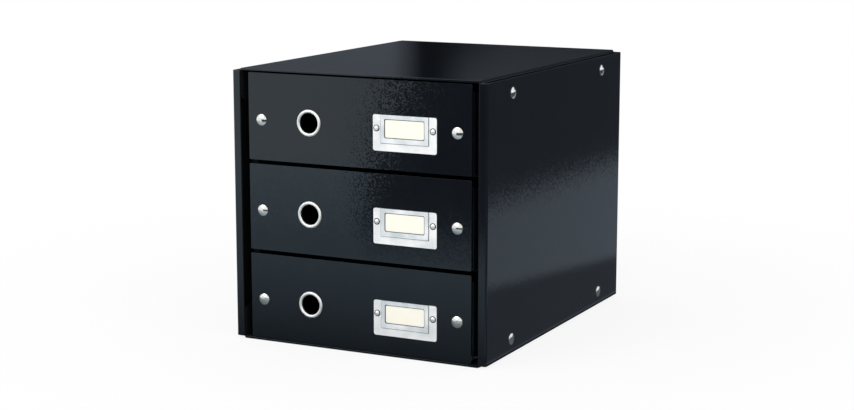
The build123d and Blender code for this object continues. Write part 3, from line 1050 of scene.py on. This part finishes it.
# The paper of a card is its glowing finish
def reflection_card(name, paper, rows):
    """A sheet through rows of points; each point has a place and a shade."""
    bm = bmesh.new()
    layer = bm.verts.layers.float.new("shade")
    grid = []
    for row in rows:
        grid.append([bm.verts.new(place) for place, shade in row])
        for vert, (place, shade) in zip(grid[-1], row):
            vert[layer] = shade
    for near, far in zip(grid, grid[1:]):
        for corner in range(len(near) - 1):
            bm.faces.new((near[corner], near[corner + 1], far[corner + 1], far[corner]))
    card = add_stage(name, bm, paper)
    card.visible_camera = False
    card.visible_diffuse = False
    card.visible_transmission = False
    card.visible_volume_scatter = False
    card.visible_shadow = False
    print(name, "shows in reflections only")


# %% [markdown]
# ## Cards in front
# The drawer fronts mirror what lies before them: white at the left, and a dark wedge that gets wider
# with its distance. Close to the cabinet the floor cards are dark: a painted shadow of the cabinet on the
# floor, as it shows in reflections. The cards lie flat, a little above each other so that no two share a
# plane.
# Places are in metres, and a shade of 1 is white.

# %% Cards in front
card_lift = 2 * MM
white_shade = 1.0
# Each row: its y, the soft edge from outer to inner, the right end, and the dark shade between
wedge = ((-0.6, -0.235, -0.215, 0.3, 0.5),
         (-0.85, -0.378, -0.358, 0.3, 0.06),
         (-1.2, -0.55, -0.53, 0.25, 0.035),
         (-2.5, -1.175, -1.145, 0.1, 0.012),
         (-8.0, -3.88, -3.78, -0.5, 0.012))
reflection_card("front_card", cool_glow,
                [[((outer, y, 2 * card_lift), white_shade), ((inner, y, 2 * card_lift), shade),
                  ((right, y, 2 * card_lift), shade)] for y, outer, inner, right, shade in wedge])

# The foot card is a painted shadow: the floor under the cabinet, dark as it shows in reflections
foot_x = 0.16
foot_y = 0.2
foot_shade = 0.03
reflection_card("foot_card", cool_glow,
                [[((x, y, card_lift / 10), foot_shade) for x in (-foot_x, foot_x)]
                 for y in (-foot_y, foot_y)])

# The apron's rows nearest the cabinet are dark: painted shadow on the floor in front of it
# Each row: its y and its shade; each end: its x and its share of that shade
apron_shades = ((-0.179, 0.14), (-0.36, 0.43), (-0.54, 0.64), (-0.62, 0.57), (-0.85, 0.8), (-1.2, 0.97))
apron_ends = ((-1.2, 1.2), (0.2, 1.0))
reflection_card("apron_card", cool_glow,
                [[((x, y, card_lift), share * shade) for x, share in apron_ends]
                 for y, shade in apron_shades])

corner_ends = (0.2, 4.0)
corner_shades = ((-0.179, 0.15), (-0.6, 0.25), (-0.9, 0.12), (-1.5, 0.06), (-8.0, 0.06))
reflection_card("corner_card", cool_glow,
                [[((x, y, card_lift), shade) for x in corner_ends] for y, shade in corner_shades])

# %% [markdown]
# ## Cards at the right
# The right side mirrors a bright band between two dark stretches. The nearer card gives its lower edge
# and the larger one its upper edge, and both edges run at a slant. The nearer card's dark part is a painted
# shadow of the cabinet on the floor, and its slanted edge is that shadow's edge.

# %% Cards at the right
# The near card's dark part is painted shadow of the cabinet on the floor
near_start = 0.12
near_shade = 0.15
band_shade = 0.42
# Each row: its y, and the soft edge from inner to outer
side_edges = ((-0.2, 0.355, 0.385), (0.6, 0.127, 0.157))
reflection_card("side_near_card", blue_glow,
                [[((near_start, y, 3 * card_lift), near_shade), ((inner, y, 3 * card_lift), near_shade),
                  ((outer, y, 3 * card_lift), band_shade)] for y, inner, outer in side_edges])

side_start = 0.144
side_end = 4.0
side_shade = 0.075
soft_edge = 0.09
# Each row: its y, and where the bright band starts to fade
side_turns = ((-0.3, 0.47), (5.0, 0.4))
reflection_card("side_card", blue_glow,
                [[((side_start, y, 2 * card_lift), band_shade), ((turn, y, 2 * card_lift), band_shade),
                  ((turn + soft_edge, y, 2 * card_lift), side_shade),
                  ((side_end, y, 2 * card_lift), side_shade)] for y, turn in side_turns])

# %% [markdown]
# ## Card behind
# The top is seen at a flat angle, so it mirrors what stands behind the cabinet. One upright card gives it
# a glow at the left, a dark stretch and a dimmer glow at the right.

# %% Card behind
rear_y = 2.5
glow_ends = (-3.5, -1.37)
glow_shade = 0.118
dark_start = -1.28
dark_shade = 0.006
dark_fade = 0.1
bend_x = 0.2
rear_end = 1.6
# Each row: its height, its height at the right end, where the dark stretch ends, and the shade beyond it
rear_rows = ((0.1, 0.5, -1.06, 0.03),
             (0.51, 0.6, -1.12, 0.035),
             (0.59, 0.7, -1.24, 0.075),
             (1.7, 1.7, -1.24, 0.07))
reflection_card("rear_card", blue_glow,
                [[((x, rear_y, z), glow_shade) for x in glow_ends]
                 + [((x, rear_y, z), dark_shade) for x in (dark_start, dark_end)]
                 + [((x, rear_y, z), shade) for x in (dark_end + dark_fade, bend_x)]
                 + [((rear_end, rear_y, right_z), shade)]
                 for z, right_z, dark_end, shade in rear_rows])
